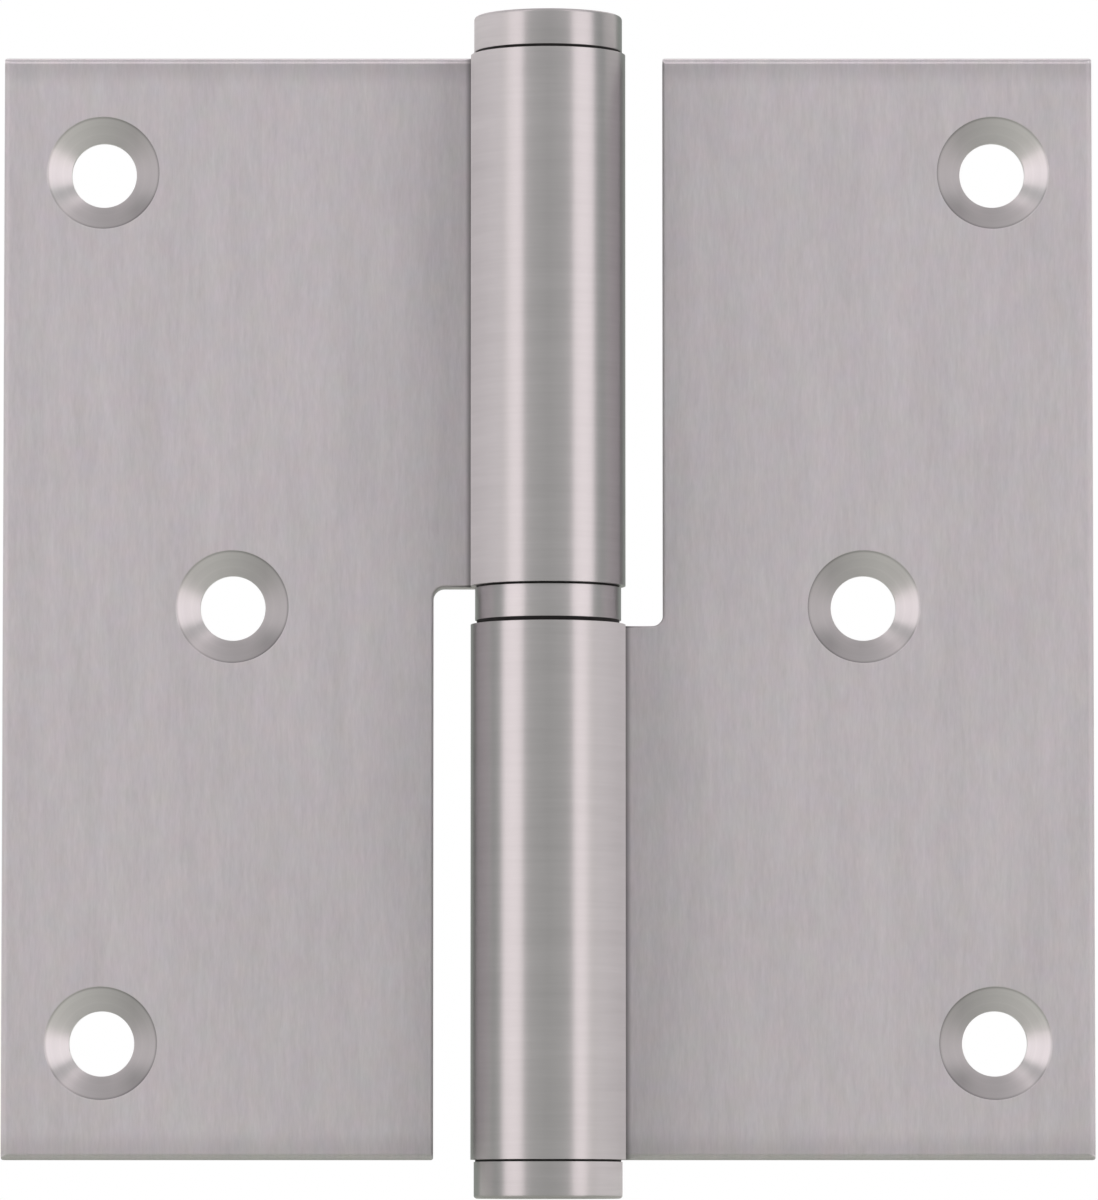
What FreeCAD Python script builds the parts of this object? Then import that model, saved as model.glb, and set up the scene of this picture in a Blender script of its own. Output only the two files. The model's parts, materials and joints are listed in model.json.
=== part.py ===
import FreeCAD, Part
import math
import os

# Lift-off door hinge in satin stainless steel, lying open and flat.
# The pin stands along Z through the origin, halfway up the barrel. +X points to the leaf that
# carries the pin, and the countersunk faces of both leaves look towards -Y.

# Leaf sizes, in millimetres
leaf_height = 100.0
leaf_reach = 49.4             # pin axis to the leaf's free edge
sheet_thickness = 3.0
leaf_setback = 1.5            # front face of the leaf behind the pin axis
crank_radius = 2.0            # inside of the bend that leads the sheet to the back of the barrel
seam_gap = 0.1                # between the rolled end of the sheet and the leaf it closes on
notch_gap = 3.4               # clear width between a barrel and the other leaf
notch_corner_radius = 1.0
edge_break = 0.25             # chamfer along the edges of the cut sheet

# Screw hole sizes
screw_hole_diameter = 5.9
countersink_diameter = 10.2
countersink_angle = 90.0      # degrees across the cone
outer_hole_from_axis = 40.4
outer_hole_spacing = 79.0
middle_hole_from_axis = 28.6

# Pin, ring and cap sizes
pin_diameter = 8.0            # where it is pressed into the lower barrel
running_clearance = 0.05      # round the part of the pin that the upper barrel turns on
pin_reach = 36.0              # how far the pin stands up into the upper barrel
pin_nose_length = 2.0
pin_nose_inset = 1.2
ring_thickness = 3.5
ring_inset = 0.4              # ring's side inside the barrel's side
cap_height = 3.5
cap_inset = 0.3               # cap's side inside the barrel's side
cap_round = 0.4
spigot_length = 5.0           # plug of a cap inside the barrel
lead_in = 0.4                 # chamfer on the ends that are pressed in
joint_chamfer = 0.1           # broken edges that show as lines round the barrel

# Sizes that follow from those above
bore_radius = pin_diameter / 2
barrel_radius = bore_radius + sheet_thickness
running_radius = bore_radius - running_clearance
leaf_front = leaf_setback
leaf_back = leaf_setback + sheet_thickness
leaf_end = leaf_height / 2
barrel_inner_end = ring_thickness / 2
notch_edge = barrel_radius + notch_gap
hole_radius = screw_hole_diameter / 2
countersink_radius = countersink_diameter / 2

ORIGIN = FreeCAD.Vector(0, 0, 0)
UP = FreeCAD.Vector(0, 0, 1)
BACKWARDS = FreeCAD.Vector(0, 1, 0)


def at_angle(radius, angle):
    """Point of the barrel's section at a radius and an angle about the pin."""
    return FreeCAD.Vector(radius * math.cos(angle), radius * math.sin(angle), 0)


def arc_about_pin(radius, start, end):
    """Arc of the section about the pin, from one angle to another."""
    middle = at_angle(radius, (start + end) / 2)
    return Part.Arc(at_angle(radius, start), middle, at_angle(radius, end)).toShape()


def rolled_section():
    """Section of the sheet across the pin: flat leaf, crank, and roll closing on the leaf."""
    crank_height = leaf_back + crank_radius
    crank_distance = barrel_radius + crank_radius
    roll_start = math.pi - math.asin(crank_height / crank_distance)
    roll_end = -math.pi - math.asin((leaf_front - seam_gap) / barrel_radius)
    crank_centre = at_angle(crank_distance, roll_start)
    crank_middle = (at_angle(-1, roll_start) - BACKWARDS).normalize()

    def crank_arc(face_height, end_radius):
        start = FreeCAD.Vector(crank_centre.x, face_height, 0)
        middle = crank_centre + crank_middle * (crank_height - face_height)
        return Part.Arc(start, middle, at_angle(end_radius, roll_start)).toShape()

    front_bend = FreeCAD.Vector(crank_centre.x, leaf_front, 0)
    back_bend = FreeCAD.Vector(crank_centre.x, leaf_back, 0)
    front_edge = FreeCAD.Vector(-leaf_reach, leaf_front, 0)
    back_edge = FreeCAD.Vector(-leaf_reach, leaf_back, 0)
    outline = [
        Part.LineSegment(front_edge, back_edge).toShape(),
        Part.LineSegment(back_edge, back_bend).toShape(),
        crank_arc(leaf_back, barrel_radius),
        arc_about_pin(barrel_radius, roll_start, roll_end),
        Part.LineSegment(at_angle(barrel_radius, roll_end), at_angle(bore_radius, roll_end)).toShape(),
        arc_about_pin(bore_radius, roll_end, roll_start),
        crank_arc(leaf_front, bore_radius),
        Part.LineSegment(front_bend, front_edge).toShape(),
    ]
    return Part.Face(Part.Wire(Part.__sortEdges__(outline)))


def rolled_blank():
    """Leaf with its roll at the top, notched below it for the other leaf's barrel."""
    blank = rolled_section().extrude(UP * leaf_height)
    blank.translate(UP * -leaf_end)
    notch_width = notch_edge + 2 * barrel_radius
    notch_depth = 4 * barrel_radius
    notch = Part.makeBox(notch_width, notch_depth, leaf_height,
                         FreeCAD.Vector(-notch_edge, -notch_depth / 2, barrel_inner_end - leaf_height))
    corner = [edge for edge in notch.Edges
              if abs(edge.CenterOfMass.x + notch_edge) < 1e-6
              and abs(edge.CenterOfMass.z - barrel_inner_end) < 1e-6]
    return blank.cut(notch.makeFillet(notch_corner_radius, corner)).removeSplitter()


def cut_edges(blank):
    """Edges of the cut sheet's outline, without the sharp corners across its thickness."""
    def is_cut_edge(edge):
        box = edge.BoundBox
        across = box.XLength < 1e-6 and box.ZLength < 1e-6
        smooth_line_of_roll = box.ZLength > 1.0 and box.XMax > -notch_edge + notch_corner_radius
        return not across and not smooth_line_of_roll
    return [edge for edge in blank.Edges if is_cut_edge(edge)]


def screw_hole(from_axis, height):
    """Countersunk screw hole through the leaf, opening to the front."""
    slope = math.tan(math.radians(countersink_angle / 2))
    cone_depth = (countersink_radius - hole_radius) / slope
    overrun = sheet_thickness
    shank = Part.makeCylinder(hole_radius, sheet_thickness + 2 * overrun,
                              FreeCAD.Vector(-from_axis, leaf_front - overrun, height), BACKWARDS)
    cone = Part.makeCone(countersink_radius + overrun * slope, hole_radius, cone_depth + overrun,
                         FreeCAD.Vector(-from_axis, leaf_front - overrun, height), BACKWARDS)
    return shank.fuse(cone)


def leaf():
    """One leaf with its barrel at the top, reaching towards -X."""
    blank = rolled_blank()
    solid = blank.makeChamfer(edge_break, cut_edges(blank))
    holes = [
        screw_hole(outer_hole_from_axis, outer_hole_spacing / 2),
        screw_hole(middle_hole_from_axis, 0),
        screw_hole(outer_hole_from_axis, -outer_hole_spacing / 2),
    ]
    for hole in holes:
        solid = solid.cut(hole)
    return solid


def turned(points):
    """Solid turned about the pin's axis from a closed outline of radius and height."""
    corners = [FreeCAD.Vector(radius, 0, height) for radius, height in points]
    face = Part.Face(Part.makePolygon(corners + corners[:1]))
    return face.revolve(ORIGIN, UP, 360)


def hinge_pin():
    """Pin pressed into the lower barrel, with a slimmer running part and a tapered nose."""
    foot = spigot_length - leaf_end
    step = -barrel_inner_end
    tip = barrel_inner_end + pin_reach
    return turned([
        (0, foot),
        (bore_radius - lead_in, foot),
        (bore_radius, foot + lead_in),
        (bore_radius, step),
        (running_radius, step),
        (running_radius, tip - pin_nose_length),
        (running_radius - pin_nose_inset, tip),
        (0, tip),
    ])


def bearing_ring():
    """Loose ring on the pin that the upper barrel rests on."""
    inner = running_radius + running_clearance
    outer = barrel_radius - ring_inset
    end = barrel_inner_end
    return turned([
        (inner, -end),
        (outer - joint_chamfer, -end),
        (outer, -end + joint_chamfer),
        (outer, end - joint_chamfer),
        (outer - joint_chamfer, end),
        (inner, end),
    ])


def barrel_cap():
    """Button cap for the top of a barrel, with its plug pressed into the bore."""
    side = barrel_radius - cap_inset
    seat = leaf_end
    top = seat + cap_height
    foot = seat - spigot_length
    cap = turned([
        (0, foot),
        (bore_radius - lead_in, foot),
        (bore_radius, foot + lead_in),
        (bore_radius, seat),
        (side - joint_chamfer, seat),
        (side, seat + joint_chamfer),
        (side, top),
        (0, top),
    ])
    rim = [edge for edge in cap.Edges
           if abs(edge.CenterOfMass.z - top) < 1e-6 and edge.Curve.TypeId == "Part::GeomCircle"]
    return cap.makeFillet(cap_round, rim)


def turned_over(shape):
    """The same piece turned end for end about the front-to-back axis."""
    copy = shape.copy()
    copy.rotate(ORIGIN, BACKWARDS, 180)
    return copy


upper_leaf = leaf()
top_cap = barrel_cap()
pieces = {
    "upper_leaf": upper_leaf,
    "lower_leaf": turned_over(upper_leaf),
    "hinge_pin": hinge_pin(),
    "bearing_ring": bearing_ring(),
    "top_cap": top_cap,
    "bottom_cap": turned_over(top_cap),
}

os.makedirs("parts", exist_ok=True)
for node, shape in pieces.items():
    shape.exportStep("parts/" + node + ".step")
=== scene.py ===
import json
import math

import bmesh
import bpy
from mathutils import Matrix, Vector


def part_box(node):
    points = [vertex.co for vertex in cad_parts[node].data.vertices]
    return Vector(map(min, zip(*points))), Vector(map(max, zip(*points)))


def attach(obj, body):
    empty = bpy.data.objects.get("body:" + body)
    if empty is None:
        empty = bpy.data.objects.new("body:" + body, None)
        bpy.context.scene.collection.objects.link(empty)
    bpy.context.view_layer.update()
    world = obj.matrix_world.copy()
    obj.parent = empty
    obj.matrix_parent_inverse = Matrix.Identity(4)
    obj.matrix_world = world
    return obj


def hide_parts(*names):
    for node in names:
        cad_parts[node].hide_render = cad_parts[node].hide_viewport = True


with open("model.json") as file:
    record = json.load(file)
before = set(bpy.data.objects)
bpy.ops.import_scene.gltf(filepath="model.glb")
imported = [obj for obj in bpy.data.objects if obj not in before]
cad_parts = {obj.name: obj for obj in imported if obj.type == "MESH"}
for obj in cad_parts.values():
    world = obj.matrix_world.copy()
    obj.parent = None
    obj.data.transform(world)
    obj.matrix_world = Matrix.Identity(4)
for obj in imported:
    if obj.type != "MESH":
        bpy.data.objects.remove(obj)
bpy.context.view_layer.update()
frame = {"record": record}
bpy.ops.object.select_all(action="DESELECT")


# Frame leaf: one piece of 3 mm stainless sheet, cut to an L. Its tongue is cranked back and rolled
# round the pin into the lower barrel, and three holes are drilled and countersunk for screws.
# The flat is satin brushed upright, the barrel is linished round its axis, the cones are turned.
def pick(kind, wanted):
    """Selects only those edges or faces of the piece in edit mode that the test wants."""
    bpy.ops.mesh.select_mode(type=kind)
    bpy.ops.mesh.select_all(action="DESELECT")
    shape = bmesh.from_edit_mesh(bpy.context.object.data)
    for element in shape.edges if kind == "EDGE" else shape.faces:
        element.select_set(wanted(element))
    shape.select_flush_mode()
    bmesh.update_edit_mesh(bpy.context.object.data)


def work_on(piece, mode):
    """Makes the piece the only one selected, and enters edit or object mode on it."""
    if bpy.context.object and bpy.context.object.mode == "EDIT":
        bpy.ops.object.mode_set(mode="OBJECT")
    bpy.ops.object.select_all(action="DESELECT")
    piece.select_set(True)
    bpy.context.view_layer.objects.active = piece
    bpy.ops.object.mode_set(mode=mode)


def named(name):
    """Names the primitive that was just added."""
    piece = bpy.context.object
    piece.name = name
    piece.data.name = name
    return piece


def modify(piece, kind, **settings):
    """Adds one modifier to the piece, sets it up and applies it."""
    work_on(piece, "OBJECT")
    bpy.ops.object.modifier_add(type=kind)
    modifier = piece.modifiers[-1]
    for setting, value in settings.items():
        setattr(modifier, setting, value)
    bpy.ops.object.modifier_apply(modifier=modifier.name)


def cut_away(piece, cutter):
    """Takes the cutter's shape out of the piece, and the cutter out of the scene."""
    modify(piece, "BOOLEAN", operation="DIFFERENCE", solver="EXACT", object=cutter)
    bpy.data.objects.remove(cutter)


def even_shading(piece):
    """Smooth shading that keeps the flat faces flat and turns only over the small rounds."""
    work_on(piece, "OBJECT")
    bpy.ops.object.shade_smooth()
    modify(piece, "WEIGHTED_NORMAL", mode="FACE_AREA", weight=50)


mounts = {mount["name"]: mount for mount in frame["record"]["mounts"]}
outer_screws = mounts["frame_leaf_screws"]
middle_screw = mounts["frame_leaf_middle_screw"]
leaf_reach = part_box("lower_leaf")[1].x
leaf_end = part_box("lower_leaf")[1].z
barrel_inner_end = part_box("bearing_ring")[1].z
bore_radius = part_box("hinge_pin")[1].x
sheet_thickness = 0.003
barrel_radius = bore_radius + sheet_thickness
leaf_back = outer_screws["pos_m"][1]
leaf_front = leaf_back - sheet_thickness
leaf_middle = leaf_back - sheet_thickness / 2
crank_radius = 0.002
crank_y = leaf_back + crank_radius
roll_start = math.asin(crank_y / (barrel_radius + crank_radius))
crank_x = crank_y / math.tan(roll_start)
seam_gap = 0.0001
roll_end = math.tau + math.asin((leaf_front - seam_gap) / barrel_radius)
crank_steps = 12
roll_steps = 120

# The flat blank, from the free edge to the crank
bpy.ops.mesh.primitive_plane_add(size=1)
frame_leaf = named("frame_leaf")
work_on(frame_leaf, "EDIT")
bpy.ops.transform.resize(value=(leaf_reach - crank_x, 2 * leaf_end, 1))
bpy.ops.transform.rotate(value=math.pi / 2, orient_axis="X", center_override=(0, 0, 0))
bpy.ops.transform.translate(value=((leaf_reach + crank_x) / 2, leaf_middle, 0))

# The crank, then the roll round the pin, drawn on from the blank's inner edge
tiny = 1e-6
pick("EDGE", lambda edge: all(abs(vert.co.x - crank_x) < tiny for vert in edge.verts))
bpy.ops.mesh.spin(steps=crank_steps, angle=math.pi / 2 - roll_start,
                  center=(crank_x, crank_y, 0), axis=(0, 0, 1))
bpy.ops.mesh.spin(steps=roll_steps, angle=roll_start - roll_end, center=(0, 0, 0), axis=(0, 0, 1))
bpy.ops.mesh.select_all(action="SELECT")
bpy.ops.mesh.remove_doubles(threshold=tiny)
bpy.ops.mesh.normals_make_consistent(inside=False)
modify(frame_leaf, "SOLIDIFY", thickness=sheet_thickness, offset=0, use_even_offset=True)
work_on(frame_leaf, "EDIT")
bpy.ops.mesh.select_all(action="SELECT")
bpy.ops.mesh.normals_make_consistent(inside=False)

# The notch that makes room for the other barrel
notch_gap = 0.0034
notch_edge = barrel_radius + notch_gap
notch_corner_radius = 0.001
notch_corner_steps = 10
notch_width = notch_edge + 2 * barrel_radius
bpy.ops.object.mode_set(mode="OBJECT")
bpy.ops.mesh.primitive_cube_add(size=1)
notch = named("notch")
work_on(notch, "EDIT")
bpy.ops.transform.resize(value=(notch_width, 4 * barrel_radius, 2 * leaf_end))
bpy.ops.transform.translate(value=(notch_edge - notch_width / 2, 0, leaf_end - barrel_inner_end))
pick("EDGE", lambda edge: all(abs(vert.co.x - notch_edge) < tiny
                              and abs(vert.co.z + barrel_inner_end) < tiny for vert in edge.verts))
bpy.ops.mesh.bevel(offset=notch_corner_radius, segments=notch_corner_steps, affect="EDGES")
cut_away(frame_leaf, notch)

# Broken edges: wide along the flat's outline, finer at its corners and in the notch, and finest
# on the barrel
flat_round = 0.0006
corner_round = 0.0002
notch_round = 0.00024
barrel_round = 0.00012
sharp_angle = math.radians(35)


def middle_of(edge):
    """Point halfway along an edge."""
    return (edge.verts[0].co + edge.verts[1].co) / 2


def is_sharp(edge):
    """Whether the faces on the two sides of an edge meet at a marked angle."""
    return edge.is_manifold and edge.calc_face_angle() > sharp_angle


def beyond_crank(point):
    """Whether a point of the leaf belongs to its flat."""
    return point.x > crank_x - tiny and point.y > leaf_front - seam_gap / 2


def flat_edge_round(edge):
    """How far an edge of the flat is rounded; none of the barrel's edges are."""
    middle = middle_of(edge)
    if not is_sharp(edge) or not beyond_crank(middle):
        return 0
    in_notch = middle.x < notch_edge + notch_corner_radius and abs(middle.z) < leaf_end - flat_round
    if in_notch:
        return notch_round
    across_sheet = abs(edge.verts[0].co.y - edge.verts[1].co.y) > sheet_thickness / 2
    return corner_round if across_sheet else flat_round


def barrel_edge_round(edge):
    """How far an edge of the barrel's outside is rounded."""
    middle = middle_of(edge)
    on_outside = math.hypot(middle.x, middle.y) > (bore_radius + barrel_radius) / 2
    in_crank = middle.y > leaf_front - seam_gap / 2 and middle.x > 0
    return barrel_round if is_sharp(edge) and on_outside and not in_crank else 0


def round_edges(piece, edge_round, widest, clamp):
    """Rounds each edge of the piece by its own width, none of which is over the widest."""
    work_on(piece, "EDIT")
    shape = bmesh.from_edit_mesh(piece.data)
    layers = shape.edges.layers.float
    weight = layers.get("bevel_weight_edge") or layers.new("bevel_weight_edge")
    for edge in shape.edges:
        edge[weight] = edge_round(edge) / widest
    bmesh.update_edit_mesh(piece.data)
    modify(piece, "BEVEL", limit_method="WEIGHT", width=widest, segments=3, profile=0.5,
           use_clamp_overlap=clamp, loop_slide=clamp)


round_edges(frame_leaf, flat_edge_round, flat_round, clamp=False)
round_edges(frame_leaf, barrel_edge_round, barrel_round, clamp=True)

# The screw holes, each a straight hole that opens to the front in a cone
hole_radius = outer_screws["dims"]["hole_r_mm"] / 1000
countersink_radius = 0.0051
cone_depth = countersink_radius - hole_radius
hole_sides = 128
overrun = sheet_thickness
cone_bottom = leaf_front + cone_depth
shank_length = leaf_back + overrun - cone_bottom
widening = (countersink_radius + overrun) / hole_radius
hole_half_spacing = outer_screws["dims"]["spacing_y_mm"] / 2000
hole_places = [
    (outer_screws["pos_m"][0], hole_half_spacing),
    (middle_screw["pos_m"][0], 0),
    (outer_screws["pos_m"][0], -hole_half_spacing),
]
for hole_x, hole_z in hole_places:
    bpy.ops.mesh.primitive_cylinder_add(
        vertices=hole_sides, radius=hole_radius, depth=shank_length,
        location=(hole_x, cone_bottom + shank_length / 2, hole_z), rotation=(math.pi / 2, 0, 0))
    drill = named("drill")
    bpy.ops.object.transform_apply(location=True, rotation=True, scale=True)
    work_on(drill, "EDIT")
    pick("FACE", lambda face: face.normal.y < -0.9)
    bpy.ops.mesh.extrude_region_move(
        TRANSFORM_OT_translate={"value": (0, -cone_depth - overrun, 0)})
    bpy.ops.transform.resize(value=(widening, 1, widening),
                             center_override=(hole_x, leaf_front - overrun, hole_z))
    cut_away(frame_leaf, drill)


def from_hole(point):
    """Distance of a point of the leaf from the axis of the nearest screw hole."""
    return min(math.hypot(point.x - hole_x, point.z - hole_z) for hole_x, hole_z in hole_places)


# The holes' rims are just broken
hole_round = 0.00007
work_on(frame_leaf, "EDIT")
pick("EDGE", lambda edge: is_sharp(edge) and from_hole(middle_of(edge)) < countersink_radius + tiny)
bpy.ops.mesh.bevel(offset=hole_round, segments=2, affect="EDGES", loop_slide=False)
bpy.ops.object.mode_set(mode="OBJECT")


def feed(tree, value, socket):
    """Links another node's output to an input, or sets the input to a plain value."""
    if isinstance(value, bpy.types.NodeSocket):
        tree.links.new(value, socket)
    else:
        socket.default_value = value


def number(tree, operation, *values):
    """Result of a sum or a comparison of outputs and numbers."""
    node = tree.nodes.new("ShaderNodeMath")
    node.operation = operation
    for value, socket in zip(values, node.inputs):
        feed(tree, value, socket)
    return node.outputs[0]


def vector(tree, operation, *values):
    """Result of a sum of outputs and triples; a length comes out as a number."""
    node = tree.nodes.new("ShaderNodeVectorMath")
    node.operation = operation
    for value, socket in zip(values, node.inputs):
        feed(tree, value, socket)
    return node.outputs["Value" if operation == "LENGTH" else "Vector"]


def ramp(tree, value, start, end, at_start=0, at_end=1, smooth=False):
    """Goes from one level to another while the value goes from start to end, and holds them beyond."""
    node = tree.nodes.new("ShaderNodeMapRange")
    node.interpolation_type = "SMOOTHSTEP" if smooth else "LINEAR"
    inputs = {"Value": value, "From Min": start, "From Max": end, "To Min": at_start, "To Max": at_end}
    for name, setting in inputs.items():
        feed(tree, setting, node.inputs[name])
    return node.outputs["Result"]


def blend(tree, kind, factor, first, second):
    """Mix of two colours or two vectors; kind is RGBA or VECTOR."""
    node = tree.nodes.new("ShaderNodeMix")
    node.data_type = kind
    for name, setting in (("Factor", factor), ("A", first), ("B", second)):
        feed(tree, setting, node.inputs[name])
    return node.outputs["Result"]


def part_of(tree, place, axis):
    """The X, Y or Z of a vector."""
    node = tree.nodes.new("ShaderNodeSeparateXYZ")
    tree.links.new(place, node.inputs[0])
    return node.outputs[axis]


def along(tree, axis, value):
    """Vector along one axis, as long as the value."""
    node = tree.nodes.new("ShaderNodeCombineXYZ")
    tree.links.new(value, node.inputs[axis])
    return node.outputs["Vector"]


def on_piece(tree):
    """Place of a surface point in its piece's own axes, in metres."""
    return tree.nodes.new("ShaderNodeTexCoord").outputs["Object"]


# Grain of a brushed or turned surface: fine scratches, longer streaks and broad soft bands, all
# drawn out along the grain. Position is in metres, and Grain is how many scratches fit in a metre.
# Each kind of mark has the scale and the detail of its noise.
grain = bpy.data.node_groups.new("steel_grain", "ShaderNodeTree")
grain_marks = {"Scratches": (1.0, 3), "Streaks": (0.3, 2), "Bands": (0.05, 1)}
for name in ("Position", "Grain"):
    grain.interface.new_socket(name, in_out="INPUT", socket_type="NodeSocketVector")
for mark in grain_marks:
    grain.interface.new_socket(mark, in_out="OUTPUT", socket_type="NodeSocketFloat")
grain_in = grain.nodes.new("NodeGroupInput")
grain_out = grain.nodes.new("NodeGroupOutput")
drawn_out = vector(grain, "MULTIPLY", grain_in.outputs["Position"], grain_in.outputs["Grain"])
for mark, (scale, detail) in grain_marks.items():
    noise = grain.nodes.new("ShaderNodeTexNoise")
    noise.inputs["Scale"].default_value = scale
    noise.inputs["Detail"].default_value = detail
    grain.links.new(drawn_out, noise.inputs["Vector"])
    grain.links.new(ramp(grain, noise.outputs["Fac"], 0.25, 0.75), grain_out.inputs[mark])


def steel(name, dull, bright, rough, grain_size, mark_depth, anisotropy, position=on_piece):
    """Stainless steel whose colour, roughness and bump follow its grain, which position lays out."""
    material = bpy.data.materials.new(name)
    material.use_nodes = True
    tree = material.node_tree
    shader = tree.nodes["Principled BSDF"]
    shader.inputs["Metallic"].default_value = 1
    shader.inputs["Anisotropic"].default_value = anisotropy
    marks = tree.nodes.new("ShaderNodeGroup")
    marks.node_tree = grain
    marks.inputs["Grain"].default_value = [1 / size for size in grain_size]
    tree.links.new(position(tree), marks.inputs["Position"])

    streaks_and_bands = number(tree, "ADD", marks.outputs["Streaks"], marks.outputs["Bands"])
    all_marks = number(tree, "ADD", streaks_and_bands, marks.outputs["Scratches"])
    tone = ramp(tree, all_marks, 0, len(grain_marks))
    colour = blend(tree, "RGBA", tone, (*dull, 1), (*bright, 1))
    tree.links.new(colour, shader.inputs["Base Color"])
    tree.links.new(ramp(tree, tone, 0, 1, *rough), shader.inputs["Roughness"])

    bump = tree.nodes.new("ShaderNodeBump")
    bump.inputs["Strength"].default_value = 1
    bump.inputs["Distance"].default_value = mark_depth
    tree.links.new(marks.outputs["Scratches"], bump.inputs["Height"])
    tree.links.new(bump.outputs["Normal"], shader.inputs["Normal"])
    return material


def lay_grain(material, across):
    """Spreads the material's reflections across the grain, along a direction in the piece's own axes."""
    tree = material.node_tree
    direction = tree.nodes.new("ShaderNodeVectorTransform")
    direction.convert_from = "OBJECT"
    direction.convert_to = "WORLD"
    feed(tree, across, direction.inputs["Vector"])
    tree.links.new(direction.outputs["Vector"], tree.nodes["Principled BSDF"].inputs["Tangent"])


def tint(material, mask, at_zero, at_one):
    """Multiplies the material's colour by a factor that follows the mask."""
    tree = material.node_tree
    base_colour = tree.nodes["Principled BSDF"].inputs["Base Color"]
    factor = ramp(tree, mask, 0, 1, at_zero, at_one)
    tree.links.new(vector(tree, "MULTIPLY", base_colour.links[0].from_socket, factor), base_colour)


def roughen(material, mask, extra):
    """Adds to the material's roughness where the mask is set."""
    tree = material.node_tree
    roughness = tree.nodes["Principled BSDF"].inputs["Roughness"]
    rougher = number(tree, "MULTIPLY_ADD", mask, extra, roughness.links[0].from_socket)
    tree.links.new(rougher, roughness)


def mottle(material, size, strength):
    """Varies the material's colour a little, in soft patches of about the given size."""
    tree = material.node_tree
    base_colour = tree.nodes["Principled BSDF"].inputs["Base Color"]
    patches = tree.nodes.new("ShaderNodeTexNoise")
    patches.inputs["Scale"].default_value = 1 / size
    tree.links.new(on_piece(tree), patches.inputs["Vector"])
    shades = vector(tree, "MULTIPLY_ADD", patches.outputs["Color"],
                    [2 * strength] * 3, [1 - strength] * 3)
    tree.links.new(vector(tree, "MULTIPLY", base_colour.links[0].from_socket, shades), base_colour)


def near_leaf_ends(tree, start, end, upper_only=False):
    """Mask that rises to 1 between two distances from a leaf's ends, or from its upper end only."""
    height = part_of(tree, on_piece(tree), "Z")
    from_middle = number(tree, "MAXIMUM", height, 0) if upper_only else number(tree, "ABSOLUTE", height)
    return ramp(tree, from_middle, leaf_end - start, leaf_end - end, smooth=True)


def outside_crease_shade(tree, clear):
    """Mask that is 0 in the crease beside the barrel, where shade is painted, and 1 on the open leaf."""
    from_axis = number(tree, "ABSOLUTE", part_of(tree, on_piece(tree), "X"))
    return ramp(tree, from_axis, barrel_radius, barrel_radius + clear, smooth=True)


# Satin flat: darker towards its ends, with a painted highlight on their rounds and painted shade in the
# crease
satin_leaf = steel("satin_leaf", dull=(0.516, 0.502, 0.516), bright=(0.676, 0.653, 0.674),
                   rough=(0.48, 0.56), grain_size=(0.00014, 0.00014, 0.0009), mark_depth=1.1e-6,
                   anisotropy=0.85)
lay_grain(satin_leaf, (1, 0, 0))
mottle(satin_leaf, size=0.002, strength=0.035)
satin = satin_leaf.node_tree
tint(satin_leaf, near_leaf_ends(satin, start=0.0028, end=0.0008), at_zero=1, at_one=0.88)
# Painted highlight on the rounds along both ends of the flat, stronger on the upper one
tint(satin_leaf, near_leaf_ends(satin, start=0.0006, end=0.0003), at_zero=1, at_one=1.27)
upper_round_highlight = near_leaf_ends(satin, start=0.0006, end=0.0003, upper_only=True)
tint(satin_leaf, upper_round_highlight, at_zero=1, at_one=1.18)
# Painted shade in the crease beside the barrel
tint(satin_leaf, outside_crease_shade(satin, clear=0.0006), at_zero=0.45, at_one=1)


def turned_place(tree):
    """Place of the marks of turning, which follow each other along the pin and out from it on an end."""
    place = on_piece(tree)
    from_axis = vector(tree, "LENGTH", vector(tree, "MULTIPLY", place, (1, 1, 0)))
    return vector(tree, "ADD", place, along(tree, "Z", from_axis))


def across_turning(tree):
    """Direction across the marks of turning: along the pin on a side, and towards the pin on an end."""
    inward_lean = 0.3
    place = on_piece(tree)
    endwards = vector(tree, "MULTIPLY", vector(tree, "SIGN", place), (0, 0, 1))
    outwards = vector(tree, "NORMALIZE", vector(tree, "MULTIPLY", place, (1, 1, 0)))
    return vector(tree, "MULTIPLY_ADD", outwards, [-inward_lean] * 3, endwards)


def brush_leaf_side(material, start, end, extra_roughness, painted_sheen):
    """Brushes the side of a round piece upright, like the leaf, on the quarter that the leaf joins.

    The brushing sets in between two distances from the pin's axis, towards the leaf, and a painted sheen
    makes the steel's colour paler there. It stops at the rim of the piece's end.
    """
    rim_width = 0.0007
    tree = material.node_tree
    place = on_piece(tree)
    upper_or_lower = number(tree, "SIGN", part_of(tree, place, "Z"))
    away_from_leaf = number(tree, "MULTIPLY", part_of(tree, place, "X"), upper_or_lower)
    beside_leaf = ramp(tree, away_from_leaf, -start, -end, smooth=True)
    around = vector(tree, "CROSS_PRODUCT", place, (0, 0, 1))
    from_axis = vector(tree, "LENGTH", around)
    on_side = number(tree, "GREATER_THAN", from_axis, barrel_radius - rim_width)
    brushed_with_sheen = number(tree, "MULTIPLY", beside_leaf, on_side)
    roughen(material, brushed_with_sheen, extra_roughness)
    # Painted sheen: the steel's colour is made paler where it is brushed upright
    tint(material, brushed_with_sheen, at_zero=1, at_one=painted_sheen)
    around_unit = vector(tree, "NORMALIZE", around)
    lay_grain(material, blend(tree, "VECTOR", brushed_with_sheen, across_turning(tree), around_unit))


# Linished barrel: brushed round the axis by a belt, and upright beside the leaf, where a sheen is
# painted
linished_barrel = steel("linished_barrel", dull=(0.456, 0.444, 0.45), bright=(0.542, 0.528, 0.536),
                        rough=(0.345, 0.405), grain_size=(0.006, 0.006, 0.0003), mark_depth=1.5e-6,
                        anisotropy=0.81, position=turned_place)
brush_leaf_side(linished_barrel, start=0.0025, end=0.005, extra_roughness=0.17, painted_sheen=1.22)


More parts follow.
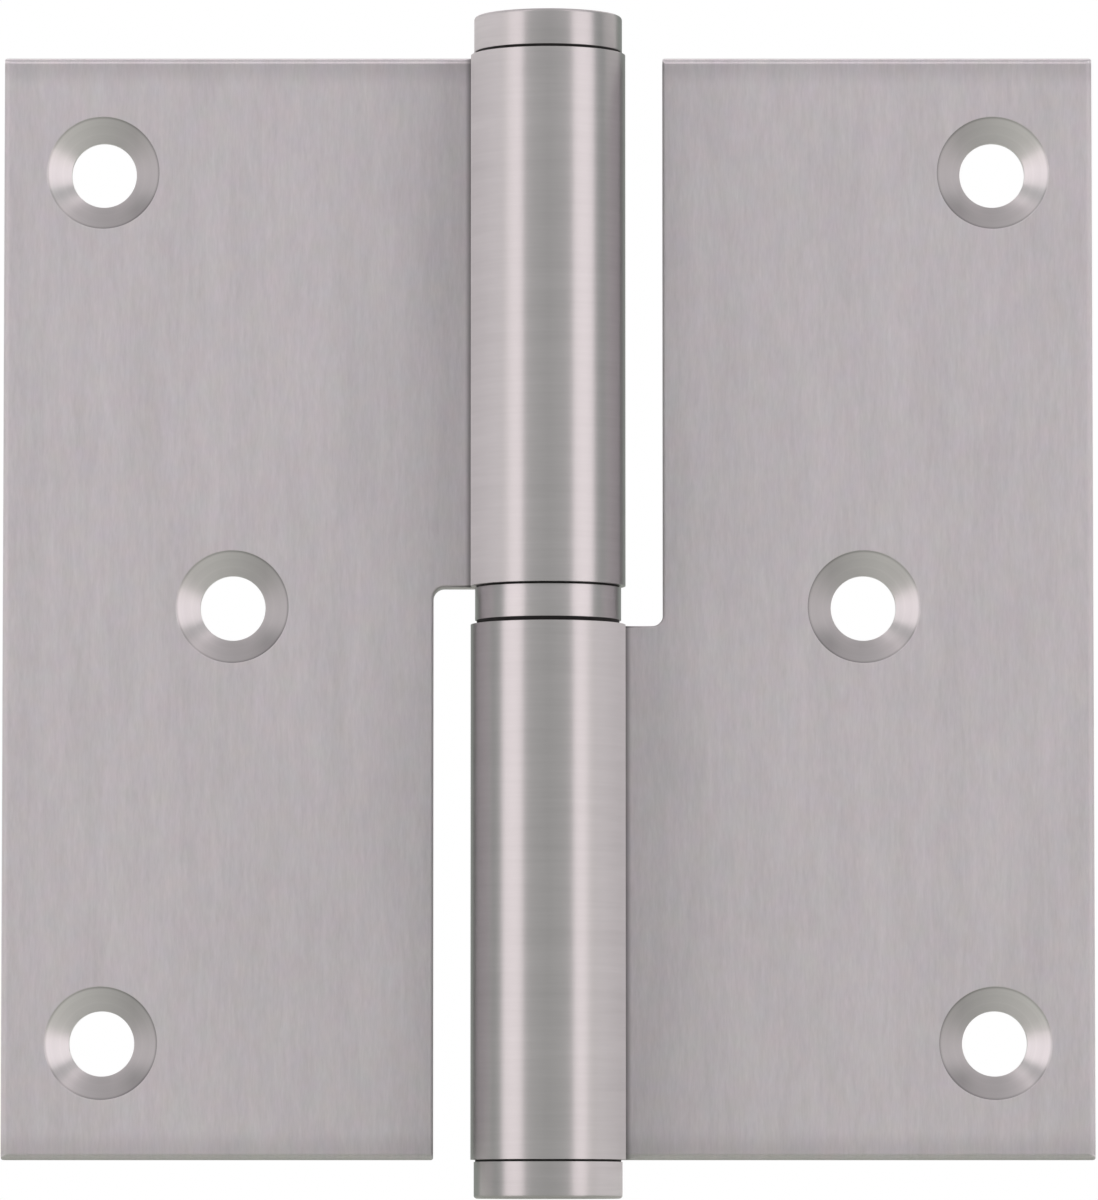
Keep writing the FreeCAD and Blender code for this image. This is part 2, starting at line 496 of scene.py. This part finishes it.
def hole_offset(tree):
    """Offset of a surface point from the axis of its screw hole, on either leaf."""
    place = on_piece(tree)
    folded = vector(tree, "ABSOLUTE", place)
    is_outer = number(tree, "GREATER_THAN", part_of(tree, folded, "Z"), hole_half_spacing / 2)
    outer_axis, middle_axis = [(hole_x, 0, hole_z) for hole_x, hole_z in hole_places[:2]]
    axis = blend(tree, "VECTOR", is_outer, middle_axis, outer_axis)
    offset = vector(tree, "SUBTRACT", folded, axis)
    unfolded = vector(tree, "MULTIPLY", offset, vector(tree, "SIGN", place))
    return vector(tree, "MULTIPLY", unfolded, (1, 0, 1))


def distance_from_hole(tree):
    """Distance of a surface point from the axis of its screw hole."""
    return vector(tree, "LENGTH", hole_offset(tree))


def cone_rings(tree):
    """Place of the turned rings, which follow each other out from the screw hole's axis."""
    return along(tree, "X", distance_from_hole(tree))


def inner_side_of_hole(tree):
    """Mask that rises from 0 on the outer side of a countersink to 1 on the side near the barrel."""
    side = number(tree, "SIGN", part_of(tree, on_piece(tree), "X"))
    outwards = number(tree, "MULTIPLY", part_of(tree, hole_offset(tree), "X"), side)
    return ramp(tree, outwards, hole_radius, -hole_radius)


def rim_of_hole(tree, width):
    """Mask that rises from 0 on a countersink's cone to 1 at its outer rim."""
    return ramp(tree, distance_from_hole(tree), countersink_radius - width,
                countersink_radius - hole_round / 2)


def low_side_of_hole(tree, start, end):
    """Mask that rises to 1 between two distances below the axis of a screw hole."""
    height = part_of(tree, hole_offset(tree), "Z")
    return ramp(tree, height, -start, -end, smooth=True)


# Turned countersinks: smoother on the side away from the barrel, with a painted highlight there, and
# painted shade at the rim and on the lower side
turned_cone = steel("turned_cone", dull=(0.57, 0.556, 0.565), bright=(0.67, 0.652, 0.663),
                    rough=(0.3, 0.38), grain_size=(0.0002, 0.004, 0.004), mark_depth=3e-6,
                    anisotropy=0.85, position=cone_rings)
cone = turned_cone.node_tree
lay_grain(turned_cone, hole_offset(cone))
inner_side = inner_side_of_hole(cone)
roughen(turned_cone, inner_side, extra=0.3)
# Painted highlight on each cone's outer side, away from the barrel
tint(turned_cone, inner_side, at_zero=1.42, at_one=0.95)
# Painted shade in a thin line along each cone's rim
tint(turned_cone, rim_of_hole(cone, width=0.0002), at_zero=1, at_one=0.65)
# Painted shade on the lower side of each cone and hole
low_side_shade = low_side_of_hole(cone, start=0.4 * hole_radius, end=1.2 * hole_radius)
tint(turned_cone, low_side_shade, at_zero=1, at_one=0.72)


def give_material(piece, index, test):
    """Gives the faces that the test wants the material in one of the piece's slots."""
    work_on(piece, "EDIT")
    pick("FACE", test)
    piece.active_material_index = index
    bpy.ops.object.material_slot_assign()
    bpy.ops.object.mode_set(mode="OBJECT")


def on_barrel(face):
    """Whether a face of the leaf belongs to its rolled barrel."""
    middle = face.calc_center_median()
    return math.hypot(middle.x, middle.y) < barrel_radius and not beyond_crank(middle)


def in_hole(face):
    """Whether a face of the leaf belongs to a screw hole or its cone."""
    return from_hole(face.calc_center_median()) < countersink_radius and abs(face.normal.y) < 0.95


for finish in (satin_leaf, linished_barrel, turned_cone):
    frame_leaf.data.materials.append(finish)
give_material(frame_leaf, 1, on_barrel)
give_material(frame_leaf, 2, in_hole)
even_shading(frame_leaf)
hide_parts("lower_leaf")
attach(frame_leaf, "frame_side")


# Hinge pin: a ground steel rod pressed into the lower barrel. Above the barrel it is a hair slimmer,
# so that the other leaf turns on it, and its nose is tapered to find the upper bore.
pin_low, pin_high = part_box("hinge_pin")
running_clearance = 0.00005
running_radius = bore_radius - running_clearance
pin_lead_in = 0.0004
nose_length = 0.002
nose_inset = 0.0012
nose_radius = running_radius - nose_inset
nose_round = 0.0003
pin_sides = 128
seat_length = -barrel_inner_end - pin_low.z
bpy.ops.mesh.primitive_cylinder_add(vertices=pin_sides, radius=bore_radius, depth=seat_length)
hinge_pin = named("pin")
work_on(hinge_pin, "EDIT")
bpy.ops.transform.translate(value=(0, 0, pin_low.z + seat_length / 2))
pick("FACE", lambda face: face.normal.z < -0.9)
bpy.ops.mesh.bevel(offset=pin_lead_in, segments=1, affect="EDGES")
pick("FACE", lambda face: face.normal.z > 0.9)
bpy.ops.mesh.inset(thickness=bore_radius - running_radius)
running_length = pin_high.z - nose_length + barrel_inner_end
bpy.ops.mesh.extrude_region_move(TRANSFORM_OT_translate={"value": (0, 0, running_length)})
bpy.ops.mesh.extrude_region_move(TRANSFORM_OT_translate={"value": (0, 0, nose_length)})
bpy.ops.transform.resize(value=(nose_radius / running_radius, nose_radius / running_radius, 1),
                         center_override=(0, 0, pin_high.z))
bpy.ops.mesh.bevel(offset=nose_round, segments=4, affect="EDGES")
bpy.ops.object.mode_set(mode="OBJECT")

ground_steel = steel("ground_steel", dull=(0.6, 0.585, 0.585), bright=(0.67, 0.655, 0.655),
                     rough=(0.2, 0.3), grain_size=(0.008, 0.008, 0.00012), mark_depth=8e-7,
                     anisotropy=0.7, position=turned_place)
lay_grain(ground_steel, across_turning(ground_steel.node_tree))
hinge_pin.data.materials.append(ground_steel)
even_shading(hinge_pin)
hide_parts("hinge_pin")
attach(hinge_pin, "frame_side")


# Bottom cap: a turned steel button, pressed by its plug into the open end of the lower barrel.
# Its outer rim is rounded over, and its seat leaves a fine groove against the barrel, whose shadow line
# is painted dark on the groove's floor.
bottom_cap_low, bottom_cap_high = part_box("bottom_cap")
cap_radius = bottom_cap_high.x
cap_height = -leaf_end - bottom_cap_low.z
plug_length = leaf_end + bottom_cap_high.z
cap_round = 0.0003
plug_lead_in = 0.0004
lower_seat_groove = 0.0002
groove_depth = 0.00012
turned_sides = 160
turned_cap = steel("turned_cap", dull=(0.44, 0.428, 0.434), bright=(0.53, 0.516, 0.523),
                   rough=(0.345, 0.405), grain_size=(0.005, 0.005, 0.00025), mark_depth=1.5e-6,
                   anisotropy=0.81, position=turned_place)
# The caps' side beside the leaf is brushed too, with a painted sheen
brush_leaf_side(turned_cap, start=0.0025, end=0.005, extra_roughness=0.17, painted_sheen=1.28)
# Painted shade for the floors of the grooves where the turned pieces meet
painted_groove_shade = steel("painted_groove_shade", dull=(0.05, 0.05, 0.05), bright=(0.12, 0.118, 0.118),
                   rough=(0.5, 0.7), grain_size=(0.004, 0.004, 0.0003), mark_depth=1e-6, anisotropy=0)


def darken_grooves(piece, groove_radius):
    """Gives the floors of the grooves round a turned piece a second, dark material: painted shade."""
    def in_groove(face):
        middle = face.calc_center_median()
        from_axis = math.hypot(middle.x, middle.y)
        upright = abs(face.normal.z) < 0.5
        return upright and bore_radius + tiny < from_axis < groove_radius + tiny

    piece.data.materials.append(painted_groove_shade)
    give_material(piece, 1, in_groove)


def button_cap(name, seat, outward, seat_groove_height):
    """Cap on a barrel's end at the height of its seat; outward is +1 up or -1 down."""
    bpy.ops.mesh.primitive_cylinder_add(vertices=turned_sides, radius=cap_radius, depth=cap_height)
    cap = named(name)
    work_on(cap, "EDIT")
    bpy.ops.transform.translate(value=(0, 0, seat + outward * cap_height / 2))
    pick("FACE", lambda face: face.normal.z * outward > 0.99)
    bpy.ops.mesh.bevel(offset=cap_round, segments=5, affect="EDGES")
    pick("FACE", lambda face: face.normal.z * outward < -0.99)
    bpy.ops.transform.translate(value=(0, 0, outward * seat_groove_height))
    bpy.ops.mesh.inset(thickness=groove_depth)
    bpy.ops.mesh.extrude_region_move(
        TRANSFORM_OT_translate={"value": (0, 0, -outward * seat_groove_height)})
    bpy.ops.mesh.inset(thickness=cap_radius - groove_depth - bore_radius)
    bpy.ops.mesh.extrude_region_move(
        TRANSFORM_OT_translate={"value": (0, 0, -outward * plug_length)})
    bpy.ops.mesh.bevel(offset=plug_lead_in, segments=1, affect="EDGES")
    bpy.ops.object.mode_set(mode="OBJECT")
    cap.data.materials.append(turned_cap)
    darken_grooves(cap, cap_radius - groove_depth)
    even_shading(cap)
    return cap


bottom_cap = button_cap("lower_button_cap", -leaf_end, -1, lower_seat_groove)
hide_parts("bottom_cap")
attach(bottom_cap, "frame_side")


# Bearing ring: a loose turned washer on the pin. It keeps the two barrels apart and carries the
# door leaf as it turns; its edges are stepped in, with shade painted dark on the steps, which shows as
# two thin dark lines.
ring_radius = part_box("bearing_ring")[1].x
upper_groove_height = 0.0002
lower_groove_height = 0.0004
ring_groove_depth = 0.00015
ring_height = 2 * barrel_inner_end - upper_groove_height - lower_groove_height
bpy.ops.mesh.primitive_cylinder_add(vertices=turned_sides, radius=ring_radius, depth=ring_height)
bearing_ring = named("washer_ring")
work_on(bearing_ring, "EDIT")
bpy.ops.transform.translate(value=(0, 0, (lower_groove_height - upper_groove_height) / 2))
for outward, groove_height in ((1, upper_groove_height), (-1, lower_groove_height)):
    pick("FACE", lambda face: face.normal.z * outward > 0.99)
    bpy.ops.mesh.inset(thickness=ring_groove_depth)
    bpy.ops.mesh.extrude_region_move(
        TRANSFORM_OT_translate={"value": (0, 0, outward * groove_height)})
pick("FACE", lambda face: abs(face.normal.z) > 0.99 and len(face.verts) > 4)
bpy.ops.mesh.inset(thickness=ring_radius - ring_groove_depth - bore_radius, use_individual=True)
bpy.ops.mesh.bridge_edge_loops()
bpy.ops.mesh.select_all(action="SELECT")
bpy.ops.mesh.normals_make_consistent(inside=False)
bpy.ops.object.mode_set(mode="OBJECT")
turned_ring = steel("turned_ring", dull=(0.475, 0.462, 0.469), bright=(0.565, 0.55, 0.558),
                    rough=(0.345, 0.405), grain_size=(0.005, 0.005, 0.00025), mark_depth=1.5e-6,
                    anisotropy=0.81, position=turned_place)
lay_grain(turned_ring, across_turning(turned_ring.node_tree))
bearing_ring.data.materials.append(turned_ring)
darken_grooves(bearing_ring, ring_radius - ring_groove_depth)
even_shading(bearing_ring)
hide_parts("bearing_ring")
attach(bearing_ring, "ring")


# Door leaf: the same blank as the frame leaf, turned end for end, so its barrel is the upper one.
# It hangs on the pin and lifts off with the door.
door_leaf = bpy.data.objects.new("door_leaf", frame_leaf.data.copy())
bpy.context.scene.collection.objects.link(door_leaf)
work_on(door_leaf, "EDIT")
bpy.ops.mesh.select_all(action="SELECT")
bpy.ops.transform.rotate(value=math.pi, orient_axis="Y", center_override=(0, 0, 0))
bpy.ops.object.mode_set(mode="OBJECT")
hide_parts("upper_leaf")
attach(door_leaf, "door_side")


# Top cap: the same turned button as below, pressed by its plug into the open end of the upper
# barrel. The step above its seat is a little higher, so its painted shadow line is wider.
upper_seat_groove = 0.0003
top_cap = button_cap("upper_button_cap", leaf_end, 1, upper_seat_groove)
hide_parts("top_cap")
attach(top_cap, "door_side")


# Studio: a plain pale floor, grey flats all round that the metal mirrors, and a narrow darker flat
# behind the camera. Soft boxes stand beside, above and behind the hinge.
floor_level = -0.2
floor_radius = 3
bpy.ops.mesh.primitive_circle_add(vertices=96, radius=floor_radius, fill_type="NGON",
                                  location=(0, 0, floor_level))
floor = named("floor")
pale_floor = bpy.data.materials.new("pale_floor")
pale_floor.use_nodes = True
floor_shader = pale_floor.node_tree.nodes["Principled BSDF"]
floor_shader.inputs["Base Color"].default_value = (0.625, 0.67, 0.605, 1)
floor_shader.inputs["Roughness"].default_value = 0.9
floor_shader.inputs["Specular IOR Level"].default_value = 0
floor.data.materials.append(pale_floor)

flats_radius = 2.4
flats_height = 2.6
bpy.ops.mesh.primitive_cylinder_add(vertices=96, radius=flats_radius, depth=flats_height,
                                    location=(0, 0, floor_level + flats_height / 2))
flats = named("grey_flats")
flats.visible_camera = False
work_on(flats, "EDIT")
pick("FACE", lambda face: face.normal.z < -0.9)
bpy.ops.mesh.delete(type="FACE")
bpy.ops.object.mode_set(mode="OBJECT")

flat_width = 0.22
flat_height = 1.4
flat_distance = 1.6
bpy.ops.mesh.primitive_plane_add(size=1, location=(0, -flat_distance, 0), rotation=(math.pi / 2, 0, 0))
dark_flat = named("dark_flat")
dark_flat.visible_camera = False
work_on(dark_flat, "EDIT")
bpy.ops.transform.resize(value=(flat_width, 1, flat_height), center_override=(0, -flat_distance, 0))
bpy.ops.object.mode_set(mode="OBJECT")


def glowing(name, colour):
    """Finish of a flat that glows in one colour all over."""
    material = bpy.data.materials.new(name)
    material.use_nodes = True
    tree = material.node_tree
    tree.nodes.clear()
    glow = tree.nodes.new("ShaderNodeEmission")
    glow.inputs["Color"].default_value = (*colour, 1)
    surface = tree.nodes.new("ShaderNodeOutputMaterial")
    tree.links.new(glow.outputs["Emission"], surface.inputs["Surface"])
    return material


wall_front = (0.56, 0.568, 0.568)
wall_back = (0.36, 0.39, 0.36)
ceiling = (0.6, 0.58, 0.585)
dark_grey = (0.455, 0.462, 0.462)
grey_flat = glowing("grey_flat", wall_front)
flats.data.materials.append(grey_flat)
flats.data.materials.append(glowing("ceiling_flat", ceiling))
give_material(flats, 1, lambda face: abs(face.normal.z) > 0.9)
dark_flat.data.materials.append(glowing("dark_flat", dark_grey))

# The flats all round are darker at the back of the studio than at its front
wall = grey_flat.node_tree
front_end = -0.1 * flats_radius
back_start = 0.3 * flats_radius
rearwards = ramp(wall, part_of(wall, on_piece(wall), "Y"), front_end, back_start)
wall_colour = blend(wall, "RGBA", rearwards, (*wall_front, 1), (*wall_back, 1))
wall.links.new(wall_colour, wall.nodes["Emission"].inputs["Color"])

# The soft boxes' light, slightly rose against the flats' grey
box_tint = (1.0, 0.88, 0.9)


def soft_box(name, azimuth, elevation, distance, width, height, radiance):
    """Soft box aimed at the hinge; azimuth 0 is the camera's side, in degrees."""
    around, up = math.radians(azimuth), math.radians(elevation)
    towards = Vector((math.sin(around) * math.cos(up), -math.cos(around) * math.cos(up), math.sin(up)))
    lamp = bpy.data.lights.new(name, "AREA")
    lamp.shape = "RECTANGLE"
    lamp.size = width
    lamp.size_y = height
    lamp.color = box_tint
    lamp.energy = radiance * math.pi * width * height
    stand = bpy.data.objects.new(name, lamp)
    stand.location = towards * distance
    stand.rotation_euler = towards.to_track_quat("Z", "Y").to_euler()
    stand.visible_camera = False
    bpy.context.scene.collection.objects.link(stand)


for side, label in ((-1, "left"), (1, "right")):
    soft_box("soft_box_" + label, azimuth=side * 55.5, elevation=4.5, distance=0.6,
             width=0.38, height=0.47, radiance=1.45)
    soft_box("back_box_" + label, azimuth=side * 145, elevation=40, distance=1.4,
             width=0.5, height=0.6, radiance=1.2)
    soft_box("top_box_" + label, azimuth=side * 50, elevation=48, distance=1.0,
             width=0.6, height=0.25, radiance=1.1)
    soft_box("side_box_" + label, azimuth=side * 115, elevation=8, distance=1.2,
             width=0.8, height=0.8, radiance=0.55)
soft_box("front_top_box", azimuth=0, elevation=38, distance=1.0, width=1.6, height=0.26, radiance=1.15)
soft_box("back_top_box", azimuth=180, elevation=60, distance=1.5, width=1.2, height=0.6, radiance=0.8)

# White surroundings, which the camera sees past the flats; as light they are half as strong
white_strength = 1
light_strength = 0.5
world = bpy.data.worlds.new("white_studio")
bpy.context.scene.world = world
world.use_nodes = True
surroundings = world.node_tree
sky = surroundings.nodes["Background"]
sky.inputs["Color"].default_value = (1, 1, 1, 1)
ray = surroundings.nodes.new("ShaderNodeLightPath").outputs
seen_or_mirrored = number(surroundings, "MAXIMUM", ray["Is Camera Ray"], ray["Is Glossy Ray"])
seen = number(surroundings, "MAXIMUM", seen_or_mirrored, ray["Is Transmission Ray"])
sky_strength = ramp(surroundings, seen, 0, 1, light_strength, white_strength)
surroundings.links.new(sky_strength, sky.inputs["Strength"])


# Camera: a long lens in front of the open leaves, a little below the hinge's middle, so that the
# hinge fills the picture as in the photograph.
image_height = 1200
camera_distance = 0.85
camera_elevation = math.radians(-4)
pixels_per_metre = 11065
aim = Vector((0.00008, 0, 0.0005))
camera_data = bpy.data.cameras.new("camera")
camera_data.sensor_width = 36
camera_data.lens = camera_data.sensor_width * pixels_per_metre * camera_distance / image_height
camera = bpy.data.objects.new("camera", camera_data)
away = Vector((0, -math.cos(camera_elevation), math.sin(camera_elevation)))
camera.location = aim + away * camera_distance
camera.rotation_euler = away.to_track_quat("Z", "Y").to_euler()
bpy.context.scene.collection.objects.link(camera)
bpy.context.scene.camera = camera
bpy.context.scene.view_settings.view_transform = "Standard"
